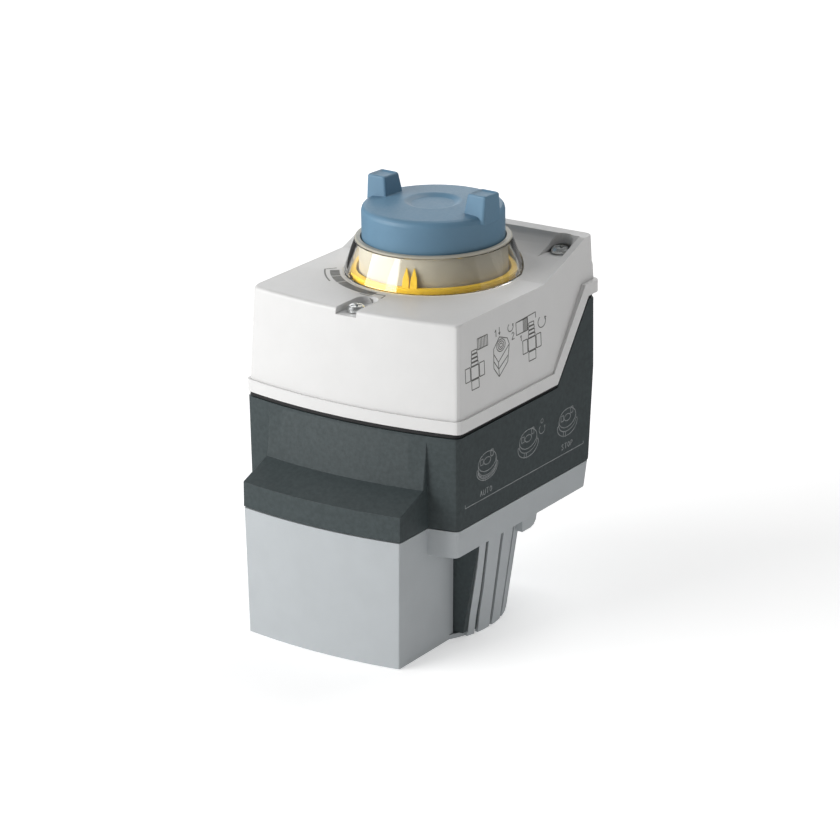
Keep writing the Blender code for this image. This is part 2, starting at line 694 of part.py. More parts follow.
def add_knob():
    """Blue knob with a dished top and two lugs, hollow below, on a hub for its shaft."""
    profile = [
        (0.0, KNOB_TOP - 0.2),
        (6.9, KNOB_TOP - 0.15),
        (8.3, KNOB_TOP + 0.55),
        (9.1, KNOB_TOP + 0.75),
        (20.7, KNOB_TOP),
        (21.7, KNOB_TOP - 0.3),
        (KNOB_R - 0.25, KNOB_TOP - 0.95),
        (KNOB_R, KNOB_TOP - 1.9),
        (KNOB_R, 109.4),
        (KNOB_R - 2.0, 109.4),
        (KNOB_R - 2.0, 125.0),
        (6.6, 125.0),
        (6.6, 113.0),
        (3.9, 113.0),
        (3.9, 123.0),
        (0.0, 123.0),
    ]
    knob = turned("manual_knob", profile, "blue_plastic", KNOB, 64)
    lug_top = 134.3
    outer = KNOB_R + 0.8
    levels = []
    for z, inner, shrink, half, corner in (
        (KNOB_TOP - 2.4, 14.8, 0.2, 4.7, 0.8),
        (lug_top - 0.5, 16.2, 0.0, 3.75, 0.8),
        (lug_top, 16.6, 0.4, 3.35, 0.6),
        (lug_top - 0.5, 17.3, 1.1, 2.6, 0.4),
    ):
        corners = [(inner, -half), (outer - shrink, -half), (outer - shrink, half), (inner, half)]
        levels.append((z, rounded([(x, y, corner) for x, y in corners], 2)))
    for degrees in (-4.0, 176.0):
        sections = [(z, turned_outline(outline, degrees, KNOB)) for z, outline in levels]
        join(knob, add(f"knob lug {degrees:.0f}", loft(sections)))
    return knob


def add_knob_works():
    """Shaft with its hexagonal clutch plug, thrust washer and return spring under the knob."""
    shaft = turned("knob_shaft", [(0.0, 122.6), (3.5, 122.6), (3.5, 80.4), (0.0, 80.4)], "zinc_steel", KNOB, 20)
    join(shaft, add("clutch plug", cylinder(5.5, 79.8, 84.0, KNOB, 6)))
    washer = [(3.9, 112.6), (8.4, 112.6), (8.4, 111.6), (3.9, 111.6)]
    turned("knob_thrust_washer", washer, "steel_plate", KNOB, 24)
    add_spring("knob_spring", 6.0, 0.5, UPPER_PLATE[1] + GAP + 0.5, 111.3 - 0.5)


def add_spring(name, radius, wire, low, high, turns=5, points=10):
    """Coil spring: a wire along a helix, its end turns closed up flat."""
    curve = bpy.data.curves.new(name, "CURVE")
    curve.dimensions = "3D"
    curve.bevel_depth = wire * MM
    curve.bevel_resolution = 1
    curve.use_fill_caps = True
    spline = curve.splines.new("POLY")
    count = turns * points
    spline.points.add(count)
    flat = 1.0 / turns
    for i in range(count + 1):
        share = min(max((i / count - flat) / (1.0 - 2.0 * flat), 0.0), 1.0)
        settle = 2.4 * wire * (min(i / count, flat) + max(i / count - 1.0 + flat, 0.0)) / flat
        z = low + settle + (high - low - 4.8 * wire) * share
        angle = 2.0 * math.pi * i / points
        spline.points[i].co = (radius * math.cos(angle) * MM, radius * math.sin(angle) * MM, z * MM, 1.0)
    place(name, curve, "zinc_steel", KNOB)


def add_window():
    """Clear conical ring round the knob, and the beige collar with the rolled rim that sits on it."""
    foot = WINDOW_SEAT + GAP
    outside = [(WINDOW_TOP_R, WINDOW_TOP), (WINDOW_FOOT_R, foot + 0.7), (WINDOW_FOOT_R, foot)]
    inside = [(26.9, foot), (23.95, WINDOW_TOP)]
    turned("indicator_window", outside + inside, "clear_polycarbonate", KNOB, 48)
    inner, outer = COLLAR_R
    rim = WINDOW_TOP + GAP
    collar = [
        (inner, rim + 0.65),
        (24.3, rim + 0.65),
        (24.65, rim + 0.35),
        (24.65, rim),
        (outer, rim),
        (outer, 99.4),
        (inner, 99.4),
    ]
    turned("knob_guide_collar", collar, "beige_plastic", KNOB, 48)


def add_indicator():
    """Yellow ring with twin pointers, carried by an internally toothed ring gear."""
    foot, deck = LEVEL_C[1] + 2.0, DECK_Z + 0.5
    profile = [(24.6, deck + 0.9), (26.2, deck + 0.9), (26.2, deck), (25.8, deck), (25.8, foot), (24.6, foot)]
    ring = turned("position_indicator", profile, "yellow_plastic", KNOB, 48)
    for i, lean in enumerate((-2.9, 2.9)):
        levels = ((deck + 0.3, 25.5, 0.8, 1.15), (deck + 3.6, 24.75, 0.6, 0.95), (deck + 6.8, 24.05, 0.25, 0.12))
        sections = []
        for z, radius, thick, half in levels:
            outline = [(radius - thick / 2, -half), (radius + thick / 2, -half)]
            outline += [(radius + thick / 2, half), (radius - thick / 2, half)]
            sections.append((z, turned_outline(outline, POINTER_DEG + lean, KNOB)))
        join(ring, add(f"pointer {i}", loft(sections)))

    gear = add("indicator_ring_gear", cylinder(29.4, LEVEL_C[0], 97.5, KNOB, 56), "white_acetal", KNOB)
    pitch_deg = 360.0 / RING_TEETH
    facing = 270.0 + pitch_deg / 2  # a gap of the ring gear faces the spindle's pinion
    teeth = turned_outline(tooth_outline(RING_TEETH, RING_MODULE, inward=True), facing, KNOB)
    cut(gear, add("ring gear teeth", prism(teeth, LEVEL_C[0] - 2.0, LEVEL_C[1] + 0.4)))
    return cut(gear, add("ring gear bore", cylinder(24.8, 85.0, 105.0, KNOB, 48)))


# ---------------------------------------------------------------- gear train


def add_plates():
    """Two steel plates on four pillars carry the gear train and the motor."""
    corners = [(-35.8, -15.6, 2.0), (26.6, -15.6, 2.0), (26.6, 40.6, 2.0), (-35.8, 40.6, 2.0)]
    outline = rounded(corners, 2)
    lower = add("lower_gear_plate", prism(outline, *LOWER_PLATE), "steel_plate")
    holes = [(STEM, 6.0), (KNOB, 2.6), (MOTOR, 4.0), (IDLER, 1.8)]
    holes += [(axis, 2.75) for axis in PILLARS]
    span = (LOWER_PLATE[0] - 2.0, LOWER_PLATE[1] + 2.0)
    cut(lower, add("lower plate holes", merged([cylinder(r, *span, axis, 14) for axis, r in holes])))
    upper = add("upper_gear_plate", prism(outline, *UPPER_PLATE), "steel_plate")
    holes = [(STEM, 4.4), (KNOB, 3.9), (MOTOR, 1.8), (IDLER, 1.8)]
    holes += [(axis, 1.4) for axis in PILLARS]
    span = (UPPER_PLATE[0] - 2.0, UPPER_PLATE[1] + 2.0)
    cut(upper, add("upper plate holes", merged([cylinder(r, *span, axis, 14) for axis, r in holes])))
    for i, axis in enumerate(PILLARS, 1):
        profile = [
            (0.0, UPPER_PLATE[0] - GAP),
            (2.4, UPPER_PLATE[0] - GAP),
            (2.4, LOWER_PLATE[0] - GAP),
            (3.8, LOWER_PLATE[0] - GAP),
            (3.8, FLOOR_Z + GAP),
            (0.0, FLOOR_Z + GAP),
        ]
        pillar = turned(f"plate_pillar_{i}", profile, "zinc_steel", axis, 12)
        cut(pillar, add(f"pillar bore {i}", cylinder(1.3, 82.0, 95.0, axis, 10)))
        head = UPPER_PLATE[1] + GAP
        add_screw(f"plate_screw_{i}", axis, head, 2.3, 1.1, 1.0, 6.0, sides=10)


def add_motor():
    """Flat synchronous motor hung under the lower plate, with its pinion above."""
    top = LOWER_PLATE[0] - GAP
    profile = [(0.0, top), (14.5, top), (14.5, 48.0), (13.5, 47.0), (0.0, 47.0)]
    motor = turned("motor", profile, "zinc_steel", MOTOR, 32)
    cut(motor, add("motor shaft bore", cylinder(1.8, 56.0, 70.0, MOTOR, 12)))
    rotor = add("motor_pinion", cylinder(1.4, 57.0, UPPER_PLATE[1] + 0.4, MOTOR, 12), "white_acetal", MOTOR)
    # a gap of the pinion faces a tooth of the idler wheel
    facing = MOTOR_AXIS_DEG + 180.0 + 180.0 / MOTOR_TEETH
    teeth = turned_outline(tooth_outline(MOTOR_TEETH, IDLER_MODULE, thin=0.40), facing, MOTOR)
    return join(rotor, add("motor teeth", prism(teeth, LEVEL_B[0] - 0.8, LEVEL_B[1] + 0.8)))


def add_idler():
    """Compound idler between the motor pinion and the spindle wheel, on a fixed axle."""
    wheel = turned_outline(tooth_outline(IDLER_TEETH, IDLER_MODULE), MOTOR_AXIS_DEG, IDLER)
    idler = add("idler_gear", prism(wheel, *LEVEL_B), "white_acetal", IDLER)
    pinion = turned_outline(tooth_outline(IDLER_PINION_TEETH, SPINDLE_MODULE), IDLER_AXIS_DEG + 180.0, IDLER)
    join(idler, add("idler pinion", prism(pinion, LEVEL_A[0] - 0.8, LEVEL_B[0] + 0.5)))
    cut(idler, add("idler bore", cylinder(1.75, 60.0, 95.0, IDLER, 16)))
    axle = [(0.0, 90.2), (1.45, 90.2), (1.45, 62.6), (0.0, 62.6)]
    turned("idler_axle", axle, "zinc_steel", IDLER, 12)


def add_spindle():
    """Spindle wheel: toothed wheel and threaded hub on the stem, with the indicator's pinion on top."""
    profile = [
        (0.0, LEVEL_C[1]),
        (3.6, LEVEL_C[1]),
        (3.6, 86.4),
        (7.0, 85.6),
        (7.0, 65.4),
        (7.6, 65.4),
        (7.6, LOWER_PLATE[1] + 0.4),
        (0.0, LOWER_PLATE[1] + 0.4),
    ]
    spindle = turned("spindle_wheel", profile, "white_acetal", STEM, 20)
    # a gap of the wheel faces a tooth of the idler pinion
    facing = IDLER_AXIS_DEG + 180.0 / SPINDLE_TEETH
    wheel = turned_outline(tooth_outline(SPINDLE_TEETH, SPINDLE_MODULE), facing)
    join(spindle, add("spindle teeth", prism(wheel, *LEVEL_A)))
    pinion = turned_outline(tooth_outline(RING_PINION_TEETH, RING_MODULE, thin=0.40), 270.0)
    join(spindle, add("indicator pinion", prism(pinion, LEVEL_C[0] + 0.3, LEVEL_C[1] - 0.2)))
    cut(spindle, add("spindle bore", cylinder(5.0, 55.0, 86.0, STEM, 24)))

    # the manual pinion has a tooth towards the spindle, where the spindle wheel has a gap
    wheel_pitch = 360.0 / SPINDLE_TEETH
    ahead = (90.0 - facing) % wheel_pitch  # how far the knob's direction is past a tooth
    turn = (ahead - wheel_pitch / 2) * SPINDLE_TEETH / MANUAL_TEETH
    outline = turned_outline(tooth_outline(MANUAL_TEETH, SPINDLE_MODULE), 270.0 + turn, KNOB)
    manual = add("manual_pinion", prism(outline, LEVEL_A[0], LEVEL_A[1] + 1.5), "white_acetal", KNOB)
    cup = [(0.0, 79.0), (7.0, 79.0), (7.0, LEVEL_A[1] + 0.8), (0.0, LEVEL_A[1] + 0.8)]
    join(manual, turned("clutch cup", cup, axis=KNOB, steps=24))
    join(manual, add("pinion pivot", cylinder(2.2, 61.5, 67.0, KNOB, 16)))
    cut(manual, add("clutch socket", cylinder(6.05, 73.0, 82.0, KNOB, 6)))


def add_stem():
    """Drive stem with its cross pin, and the coupling that grips the valve's own stem."""
    thread = []
    ridge_top, ridge_foot, pitch = 84.0, 53.0, 8.0
    count = int((ridge_top - ridge_foot) / pitch)
    for i in range(count):
        z = ridge_top - i * pitch
        thread += [(4.0, z), (4.6, z - 1.2), (4.6, z - 3.2), (4.0, z - 4.4)]
    profile = [(0.0, 85.0), (3.6, 85.0), *thread, (4.0, 49.0), (4.0, 17.4), (0.0, 17.4)]
    stem = turned("drive_stem", profile, "zinc_steel", STEM, 16)
    pin_z = 41.0
    pin = cylinder(1.2, -7.6, 7.6, sides=12)
    bore = cylinder(1.5, -9.0, 9.0, sides=12)
    lay = Matrix.Translation((0.0, 0.0, pin_z)) @ Matrix.Rotation(math.radians(90.0), 4, "Y")
    for bm in (pin, bore):
        bmesh.ops.transform(bm, verts=bm.verts, matrix=lay)
    cut(stem, add("cross pin bore", bore))
    add("anti_rotation_pin", pin, "zinc_steel")

    coupling = [(0.0, 23.5), (6.6, 23.5), (6.6, 14.0), (5.8, 13.2), (0.0, 13.2)]
    grip = turned("stem_coupling", coupling, "brass", STEM, 24)
    cut(grip, add("stem seat", cylinder(4.3, 17.0, 30.0, STEM, 20)))
    cut(grip, add("valve stem slot", block((-2.4, -10.0, 10.0), (2.4, 2.4, 17.2))))
    cut(grip, add("valve stem head slot", block((-4.0, -10.0, 14.6), (4.0, 4.0, 16.4))))


def add_yoke():
    """Cast yoke: flange, stem guide, and the tube whose shoulder carries the coupling nut."""
    profile = [
        (4.35, 46.4),
        (8.8, 46.4),
        (8.8, 37.8),
        (21.9, 37.8),
        (21.9, 34.8),
        (10.4, 34.8),
        (10.4, 14.4),
        (11.7, 14.4),
        (11.7, 10.5),
        (8.0, 10.5),
        (8.0, 31.6),
        (4.35, 33.2),
    ]
    yoke = turned("valve_yoke", profile, "cast_alloy", STEM, 24)
    cut(yoke, add("pin slots", block((-12.0, -1.5, 33.9), (12.0, 1.5, 50.0))))
    holes = [cylinder(1.8, 30.0, 40.0, polar(YOKE_SCREW_R, 45.0 + 90.0 * i), 8) for i in range(4)]
    cut(yoke, add("yoke screw holes", merged(holes)))
    for i in range(4):
        axis = polar(YOKE_SCREW_R, 45.0 + 90.0 * i)
        add_screw(f"yoke_screw_{i + 1}", axis, 37.8 + GAP, 2.8, 1.8, 1.5, 8.5, sides=12)


def add_coupling_nut():
    """Union nut that clamps the head to the valve neck."""
    flats_r = 17.2
    outline = [polar(flats_r, 60.0 * i) for i in range(6)]
    nut = add("coupling_nut", prism(outline, 1.5, 17.4), "brass", STEM)
    cone = [(0.0, 18.0), (15.6, 18.0), (18.0, 16.0), (18.0, 3.2), (15.6, 1.2), (0.0, 1.2)]
    keep(nut, turned("nut chamfers", cone, steps=24))
    bore = [(0.0, 19.0), (10.8, 19.0), (10.8, 14.7), (12.9, 14.7)]
    ridges, pitch = 3, 3.8
    for i in range(ridges):
        z = 13.4 - i * pitch
        bore += [(12.9, z), (12.2, z - 0.8), (12.2, z - 1.8), (12.9, z - 2.6)]
    bore += [(12.9, 2.0), (14.0, 0.0), (0.0, 0.0)]
    return cut(nut, turned("nut bore", bore, steps=24))


# ---------------------------------------------------------------- electrics and fasteners


def add_screw(name, axis, seat, head_r, head_h, shank_r, length, sides=16, down=True, cross=False):
    """Pan-head screw on a vertical axis. The head stands above its seat, or below it if down is False."""
    sign = 1.0 if down else -1.0
    profile = [
        (0.0, head_h),
        (head_r * 0.75, head_h * 0.95),
        (head_r, head_h * 0.45),
        (head_r, 0.0),
        (shank_r, 0.0),
        (shank_r, 1.0 - length),
        (shank_r * 0.5, -length),
        (0.0, -length),
    ]
    points = [(r, seat + sign * z) for r, z in profile]
    screw = turned(name, points if down else points[::-1], "zinc_steel", axis, sides)
    if not cross:
        return screw
    reach, half, depth = head_r * 0.6, head_r * 0.13, head_h * 0.75
    arms = []
    for degrees in (45.0, 135.0):
        arm = block((-reach, -half, seat + head_h - depth), (reach, half, seat + head_h + 1.0))
        bmesh.ops.transform(arm, verts=arm.verts, matrix=Matrix.Rotation(math.radians(degrees), 4, "Z"))
        arms.append(shifted(arm, axis[0], axis[1]))
    for i, arm in enumerate(arms):
        cut(screw, add(f"{name} recess {i}", arm))
    return screw


def add_casing_screws():
    seats = {
        "cover_screw_front": (FRONT_SCREW, 104.0),
        "cover_screw_rear_left": (REAR_SCREWS[0], 109.6),
        "cover_screw_rear_right": (REAR_SCREWS[1], 109.6),
    }
    for name, (axis, seat) in seats.items():
        add_screw(name, axis, seat + GAP, 2.9, 1.7, 1.5, 18.0, sides=20, cross=True)
    for i, axis in enumerate(BASE_SCREWS, 1):
        add_screw(f"base_screw_{i}", axis, 36.5 - GAP, 2.8, 1.8, 1.5, 14.0, sides=10, down=False)


def add_electrics():
    """Circuit board with its relay and capacitor, the terminal block, its cable and the entry plugs."""
    add("circuit_board", block((31.8, -14.0, FLOOR_Z + GAP), (33.4, 27.0, 86.0)), "circuit_laminate")
    add("board_relay", block((19.0, -6.5, 47.0), (31.5, 6.5, 59.5)), "black_plastic")
    can = cylinder(5.0, 17.0, 31.5, sides=16)
    lay = Matrix.Translation((0.0, 14.0, 53.5)) @ Matrix.Rotation(math.radians(90.0), 4, "Y")
    bmesh.ops.transform(can, verts=can.verts, matrix=lay)
    add("board_capacitor", can, "steel_plate")
    add("board_connector", block((27.9, -13.5, 49.0), (31.5, -7.5, 55.0)), "terminal_plastic")

    half, rear, front = 20.0, BLOCK_REAR_WALL - 2.3 - GAP, -38.5
    terminals = add("terminal_block", block((-half, front, 20.0), (half, rear, 33.0)), "terminal_plastic")
    ways, wells = 5, []
    for i in range(ways):
        x = (i - (ways - 1) / 2) * 7.6
        wells.append(cylinder(2.4, 28.5, 36.0, (x, -28.0), 10))
        wells.append(block((x - 2.2, -45.0, 22.0), (x + 2.2, -33.5, 27.0)))
    cut(terminals, add("terminal wells", merged(wells)))

    route = (
        (15.2, -27.5, 33.3),
        (15.2, -27.4, 40.0),
        (19.0, -25.6, 45.5),
        (27.0, -20.0, 45.8),
        (29.7, -13.0, 46.0),
        (29.7, -10.6, 47.7),
    )
    add_cable("board_cable", route, 1.4, "black_plastic")
    for (x, y), side in zip(CABLE_ENTRIES, ("left", "right")):
        profile = [(0.0, 5.2), (7.2, 5.2), (7.7, 4.6), (7.7, 1.3), (9.5, 1.3), (9.5, 0.25), (0.0, 0.25)]
        plug = turned(f"entry_plug_{side}", profile, "light_grey_plastic", (x, y), 28)
        cut(plug, add(f"entry plug slot {side}", block((x - 5.5, y - 0.7, -1.0), (x + 5.5, y + 0.7, 0.9))))


def add_cable(name, route, radius, finish, pieces=5):
    """A cable along a smooth curve through the route's points (Catmull-Rom)."""
    ends = [route[0], *route, route[-1]]
    points = []
    for a, b, c, d in zip(ends, ends[1:], ends[2:], ends[3:]):
        for i in range(pieces):
            t = i / pieces
            point = [
                0.5 * (2 * q + (r - p) * t + (2 * p - 5 * q + 4 * r - s) * t * t + (3 * q - p - 3 * r + s) * t**3)
                for p, q, r, s in zip(a, b, c, d)
            ]
            points.append(point)
    points.append(route[-1])
    curve = bpy.data.curves.new(name, "CURVE")
    curve.dimensions = "3D"
    curve.bevel_depth = radius * MM
    curve.bevel_resolution = 1
    curve.use_fill_caps = True
    spline = curve.splines.new("POLY")
    spline.points.add(len(points) - 1)
    for place_at, point in zip(spline.points, points):
        place_at.co = (*[value * MM for value in point], 1.0)
    place(name, curve, finish, (0.0, 0.0))


def main():
    clear_scene()
    add_top_cover()
    add_cover_seal()
    add_middle_housing()
    add_lower_housing()
    add_neck_sleeve()
    add_knob()
    add_knob_works()
    add_window()
    add_indicator()
    add_plates()
    add_motor()
    add_idler()
    add_spindle()
    add_stem()
    add_yoke()
    add_coupling_nut()
    add_casing_screws()
    add_electrics()


main()
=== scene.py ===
"""Looks of the motorised actuator head: finished surfaces, printed pictograms, lights and camera."""

import json
import math

import bmesh
import bpy
from mathutils import Matrix, Vector
from mathutils.bvhtree import BVHTree

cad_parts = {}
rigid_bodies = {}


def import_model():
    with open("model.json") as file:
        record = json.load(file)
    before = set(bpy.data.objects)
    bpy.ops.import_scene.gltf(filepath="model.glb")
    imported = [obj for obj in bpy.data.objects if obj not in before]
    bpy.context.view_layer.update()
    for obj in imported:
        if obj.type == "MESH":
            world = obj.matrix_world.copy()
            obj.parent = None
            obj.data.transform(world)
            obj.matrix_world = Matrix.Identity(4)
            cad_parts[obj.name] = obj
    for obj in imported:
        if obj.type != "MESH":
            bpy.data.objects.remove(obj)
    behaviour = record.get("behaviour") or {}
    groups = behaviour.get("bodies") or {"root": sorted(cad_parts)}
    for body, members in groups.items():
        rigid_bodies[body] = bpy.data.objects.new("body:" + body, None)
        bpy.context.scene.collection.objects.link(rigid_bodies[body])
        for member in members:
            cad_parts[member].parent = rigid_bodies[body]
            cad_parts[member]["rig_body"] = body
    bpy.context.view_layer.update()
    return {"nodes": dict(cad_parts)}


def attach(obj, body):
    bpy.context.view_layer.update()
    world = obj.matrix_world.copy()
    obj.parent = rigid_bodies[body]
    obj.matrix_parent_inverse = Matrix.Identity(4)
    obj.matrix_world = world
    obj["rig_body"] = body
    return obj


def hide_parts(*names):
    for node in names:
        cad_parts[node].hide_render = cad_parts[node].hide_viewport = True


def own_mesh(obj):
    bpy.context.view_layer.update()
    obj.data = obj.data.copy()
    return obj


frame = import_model()

MM = 0.001
KNOB_AXIS = (0.0, 21.0)  # mm

# ---------------------------------------------------------------- camera, stage and light

CAMERA_AZIMUTH = 34.136  # degrees to the right of straight ahead
CAMERA_ELEVATION = 18.895  # degrees
CAMERA_ROLL = -0.814  # degrees
CAMERA_DISTANCE = 1.10947  # metres
CAMERA_TARGET = Vector((0.0, 0.021, 0.0725))  # metres
CAMERA_LENS = 150.326  # mm
CAMERA_SENSOR = 36.0  # mm
CAMERA_SHIFT = (-0.018377, -0.058721)  # shares of the sensor's width
CAMERA_CLIPPING = (0.05, 50.0)  # metres

WHITE = (1.0, 1.0, 1.0)
SKY_STRENGTH = 0.145
FLOOR_GLOW = 0.42
FLOOR_HALF = 12.0  # metres
FLOOR_HEIGHT = -0.0002  # metres, a little under the feet

LIT_POINT = (0.0, 0.0, 0.08)  # metres, where the softboxes point
SOFTBOXES = (  # name, place in metres, width and height in metres, power in watts
    ("key_light", (-0.78, -0.93, 0.57), 1.15, 0.7, 16.2),
    ("back_light", (0.10, 0.99, 1.27), 0.9, 0.9, 9.0),
    ("back_panel", (-0.80, 1.18, 0.55), 1.2, 0.7, 3.6),
    ("side_panel", (1.18, 0.55, 0.60), 0.9, 0.8, 1.0),
)


def add_camera():
    azimuth, elevation, roll = (
        math.radians(v) for v in (CAMERA_AZIMUTH, CAMERA_ELEVATION, CAMERA_ROLL)
    )
    back = Vector(
        (
            math.sin(azimuth) * math.cos(elevation),
            -math.cos(azimuth) * math.cos(elevation),
            math.sin(elevation),
        )
    )
    level = Vector((math.cos(azimuth), math.sin(azimuth), 0.0))
    above = back.cross(level)
    right = math.cos(roll) * level + math.sin(roll) * above
    up = math.cos(roll) * above - math.sin(roll) * level
    camera = bpy.data.objects.new("camera", bpy.data.cameras.new("camera"))
    camera.matrix_world = Matrix.Translation(CAMERA_TARGET + back * CAMERA_DISTANCE) @ Matrix(
        (right, up, back)
    ).transposed().to_4x4()
    camera.data.lens = CAMERA_LENS
    camera.data.sensor_width = CAMERA_SENSOR
    camera.data.shift_x, camera.data.shift_y = CAMERA_SHIFT
    camera.data.clip_start, camera.data.clip_end = CAMERA_CLIPPING
    bpy.context.scene.collection.objects.link(camera)
    bpy.context.scene.camera = camera


def add_softbox(name, place, width, height, power):
    """Rectangular studio light that points at the head."""
    light = bpy.data.lights.new(name, "AREA")
    light.shape = "RECTANGLE"
    light.size = width
    light.size_y = height
    light.energy = power
    box = bpy.data.objects.new(name, light)
    box.location = place
    box.rotation_euler = (Vector(LIT_POINT) - Vector(place)).to_track_quat("-Z", "Y").to_euler()
    bpy.context.scene.collection.objects.link(box)


def add_sky():
    """Dim, even studio surroundings."""
    world = bpy.data.worlds.new("studio")
    world.use_nodes = True
    world.node_tree.nodes["Background"].inputs["Color"].default_value = (*WHITE, 1.0)
    world.node_tree.nodes["Background"].inputs["Strength"].default_value = SKY_STRENGTH
    bpy.context.scene.world = world


def add_stage():
    """Pale floor that runs out of sight."""
    bm = bmesh.new()
    bmesh.ops.create_grid(bm, x_segments=4, y_segments=4, size=FLOOR_HALF)
    mesh = bpy.data.meshes.new("floor")
    bm.to_mesh(mesh)
    bm.free()
    floor = bpy.data.objects.new("floor", mesh)
    floor.location = (0.0, 0.0, FLOOR_HEIGHT)
    bpy.context.scene.collection.objects.link(floor)
    material, tree, shader = new_material("floor_paper")
    shader.inputs["Roughness"].default_value = 0.9
    shader.inputs["Specular IOR Level"].default_value = 0.1
    shader.inputs["Emission Color"].default_value = (*WHITE, 1.0)
    shader.inputs["Emission Strength"].default_value = FLOOR_GLOW
    clouds = noise(tree, object_place(tree), 0.4, 2.0)
    mixed(tree, clouds, (0.90, 0.90, 0.90), (0.93, 0.93, 0.93), shader.inputs["Base Color"])
    mesh.materials.append(material)
    floor.visible_glossy = False


# ---------------------------------------------------------------- materials

NOISE_RANGE = (0.32, 0.68)  # where most of a noise's values lie
GLOSS_UNEVEN = 0.05  # how far a moulding's roughness strays to either side
GLOSS_SPOT = 3.0  # size of a moulding's duller spots, as a multiple of its grain
METAL_GLOSS_RANGE = (-0.07, 0.09)  # how far a metal's roughness strays
METAL_COLOUR_UNEVEN = 0.08  # share by which a metal's colour strays
METAL_CLOUD = 5.0  # mm, size of a metal's paler and darker places


def new_material(name):
    material = bpy.data.materials.new(name)
    material.use_nodes = True
    tree = material.node_tree
    return material, tree, tree.nodes["Principled BSDF"]


def object_place(tree, stretch=(1.0, 1.0, 1.0)):
    """Position on the object, optionally stretched so that patterns run along one direction."""
    place = tree.nodes.new("ShaderNodeTexCoord").outputs["Object"]
    if stretch == (1.0, 1.0, 1.0):
        return place
    mapping = tree.nodes.new("ShaderNodeMapping")
    mapping.inputs["Scale"].default_value = stretch
    tree.links.new(place, mapping.inputs["Vector"])
    return mapping.outputs["Vector"]


def noise(tree, place, size, detail=3.0, roughness=0.55):
    """Noise with features of about the given size, in metres."""
    node = tree.nodes.new("ShaderNodeTexNoise")
    node.inputs["Scale"].default_value = 1.0 / size
    node.inputs["Detail"].default_value = detail
    node.inputs["Roughness"].default_value = roughness
    tree.links.new(place, node.inputs["Vector"])
    return node.outputs["Fac"]


def mixed(tree, factor, low, high, target):
    """Blend two colours by a noise and give the result to a socket."""
    mix = tree.nodes.new("ShaderNodeMix")
    mix.data_type = "RGBA"
    mix.inputs["A"].default_value = (*low, 1.0)
    mix.inputs["B"].default_value = (*high, 1.0)
    tree.links.new(spread_out(tree, factor, 0.0, 1.0), mix.inputs["Factor"])
    tree.links.new(mix.outputs["Result"], target)


def spread_out(tree, factor, low, high):
    """Stretch the middle of a noise, where most of its values lie, to a range."""
    node = tree.nodes.new("ShaderNodeMapRange")
    node.inputs["From Min"].default_value, node.inputs["From Max"].default_value = NOISE_RANGE
    node.inputs["To Min"].default_value = low
    node.inputs["To Max"].default_value = high
    tree.links.new(factor, node.inputs["Value"])
    return node.outputs["Result"]


def relief(tree, shader, height, depth):
    """Surface relief of a depth in metres."""
    bump = tree.nodes.new("ShaderNodeBump")
    bump.inputs["Distance"].default_value = depth
    bump.inputs["Strength"].default_value = 1.0
    tree.links.new(height, bump.inputs["Height"])
    tree.links.new(bump.outputs["Normal"], shader.inputs["Normal"])


def shaded(colour, share):
    return tuple(min(1.0, c * share) for c in colour)


def moulded(name, colour, roughness, grain=0.5, depth=0.006, flow=9.0, uneven=0.03):
    """Moulded plastic: fine eroded grain, faint flow marks and uneven gloss. Sizes in mm."""
    material, tree, shader = new_material(name)
    place = object_place(tree)
    mixed(
        tree,
        noise(tree, place, flow * MM),
        shaded(colour, 1.0 - uneven),
        shaded(colour, 1.0 + uneven),
        shader.inputs["Base Color"],
    )
    low, high = roughness - GLOSS_UNEVEN, roughness + GLOSS_UNEVEN
    dull = spread_out(tree, noise(tree, place, GLOSS_SPOT * grain * MM, 4.0), low, high)
    tree.links.new(dull, shader.inputs["Roughness"])
    relief(tree, shader, noise(tree, place, grain * MM, 4.0, 0.6), depth * MM)
    return material


def metal(name, colour, roughness, lay=(1.0, 1.0, 14.0), line=1.6, depth=0.003):
    """Metal with fine tool marks along one direction and cloudy gloss. Sizes in mm."""
    material, tree, shader = new_material(name)
    shader.inputs["Metallic"].default_value = 1.0
    place = object_place(tree)
    along = object_place(tree, lay)
    mixed(
        tree,
        noise(tree, place, METAL_CLOUD * MM),
        shaded(colour, 1.0 - METAL_COLOUR_UNEVEN),
        shaded(colour, 1.0 + METAL_COLOUR_UNEVEN),
        shader.inputs["Base Color"],
    )
    low, high = (roughness + stray for stray in METAL_GLOSS_RANGE)
    dull = spread_out(tree, noise(tree, along, line * MM, 4.0), low, high)
    tree.links.new(dull, shader.inputs["Roughness"])
    relief(tree, shader, noise(tree, along, line * MM, 3.0), depth * MM)
    return material


def clear_plastic(name, colour, roughness):
    """Clear moulded polycarbonate with faint waves and a slight haze."""
    material, tree, shader = new_material(name)
    shader.inputs["Transmission Weight"].default_value = 1.0
    shader.inputs["IOR"].default_value = 1.55
    place = object_place(tree)
    tint = noise(tree, place, 12.0 * MM)
    mixed(tree, tint, shaded(colour, 0.99), colour, shader.inputs["Base Color"])
    haze = spread_out(tree, noise(tree, place, 4.0 * MM), roughness, roughness + 0.03)
    tree.links.new(haze, shader.inputs["Roughness"])
    relief(tree, shader, noise(tree, place, 7.0 * MM, 1.0), 0.01 * MM)
    return material


